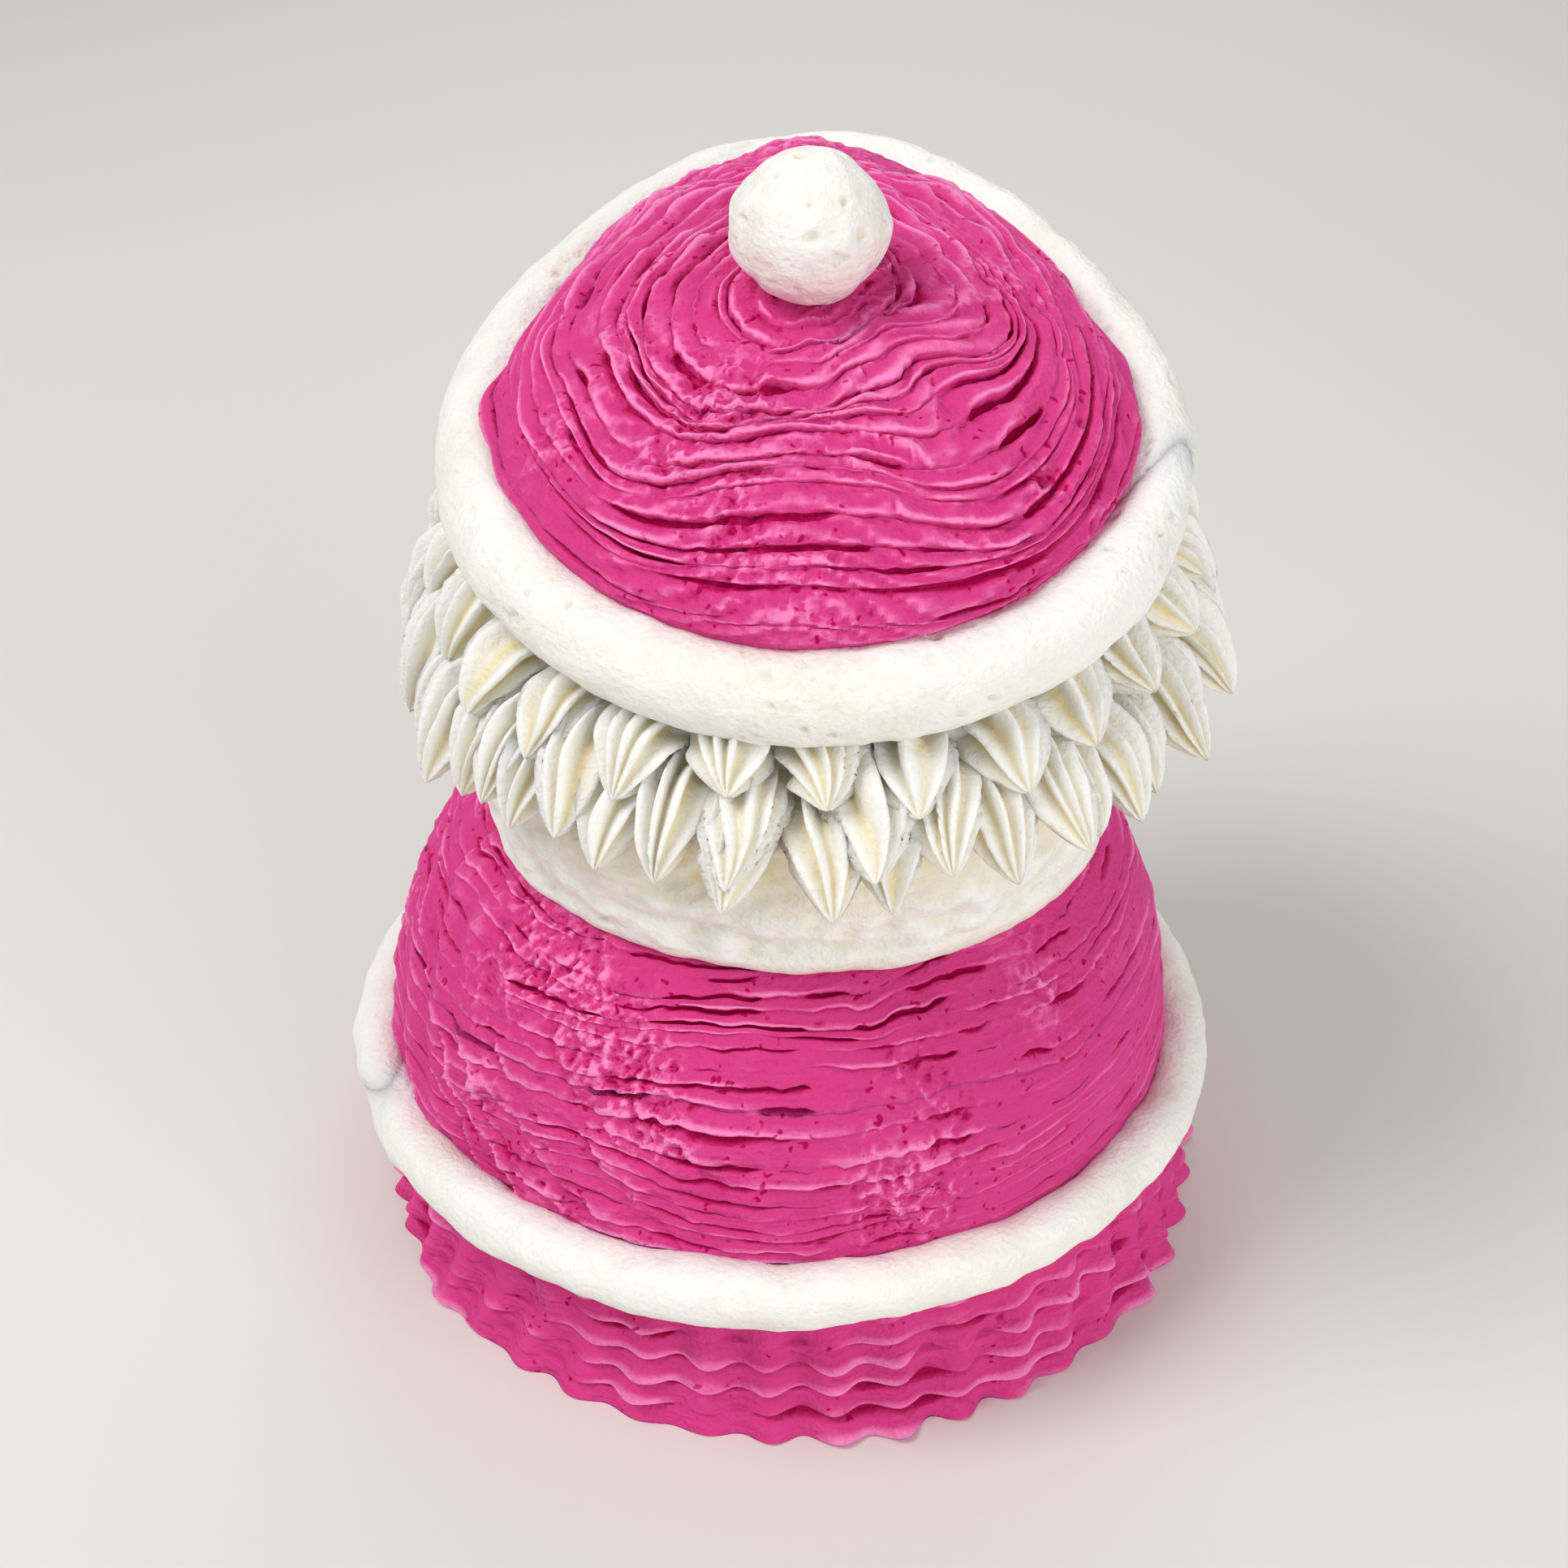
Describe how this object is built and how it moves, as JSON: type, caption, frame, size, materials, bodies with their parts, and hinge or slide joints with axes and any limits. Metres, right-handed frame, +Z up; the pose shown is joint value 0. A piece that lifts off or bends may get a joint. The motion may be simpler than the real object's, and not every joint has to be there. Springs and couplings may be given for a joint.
{
  "type": "christmas cake",
  "caption": "Festive cake of piped cream: a ruffled berry drum with a white rope belt, a white head with a fringe of shells, and a tilted berry cap with rope brim and pompom.",
  "frame": {"origin": "on the drum's axis, at the surface that the cake stands on", "axes": "+Z up through the drum, -Y towards the shown side, which the cap tilts to, +X to the right of that side"},
  "size_m": [0.1272, 0.1269, 0.1602],
  "materials": {
    "berry_cream": "satin berry-coloured buttercream",
    "white_cream": "satin whipped cream"
  },
  "bodies": {
    "root": {"body": "berry_cream", "belt": "white_cream", "head": "white_cream", "hat": "berry_cream", "brim": "white_cream", "pompom": "white_cream", "shell_upper_01": "white_cream", "shell_upper_02": "white_cream", "shell_upper_03": "white_cream", "shell_upper_04": "white_cream", "shell_upper_05": "white_cream", "shell_upper_06": "white_cream", "shell_upper_07": "white_cream", "shell_upper_08": "white_cream", "shell_upper_09": "white_cream", "shell_upper_10": "white_cream", "shell_upper_11": "white_cream", "shell_upper_12": "white_cream", "shell_upper_13": "white_cream", "shell_upper_14": "white_cream", "shell_upper_15": "white_cream", "shell_upper_16": "white_cream", "shell_upper_17": "white_cream", "shell_upper_18": "white_cream", "shell_upper_19": "white_cream", "shell_upper_20": "white_cream", "shell_upper_21": "white_cream", "shell_upper_22": "white_cream", "shell_upper_23": "white_cream", "shell_upper_24": "white_cream", "shell_upper_25": "white_cream", "shell_upper_26": "white_cream", "shell_lower_01": "white_cream", "shell_lower_02": "white_cream", "shell_lower_03": "white_cream", "shell_lower_04": "white_cream", "shell_lower_05": "white_cream", "shell_lower_06": "white_cream", "shell_lower_07": "white_cream", "shell_lower_08": "white_cream", "shell_lower_09": "white_cream", "shell_lower_10": "white_cream", "shell_lower_11": "white_cream", "shell_lower_12": "white_cream", "shell_lower_13": "white_cream", "shell_lower_14": "white_cream", "shell_lower_15": "white_cream", "shell_lower_16": "white_cream", "shell_lower_17": "white_cream", "shell_lower_18": "white_cream", "shell_lower_19": "white_cream", "shell_lower_20": "white_cream", "shell_lower_21": "white_cream", "shell_lower_22": "white_cream", "shell_lower_23": "white_cream", "shell_lower_24": "white_cream", "shell_lower_25": "white_cream", "shell_lower_26": "white_cream", "shell_low_01": "white_cream", "shell_low_02": "white_cream"}
  },
  "joints": []
}
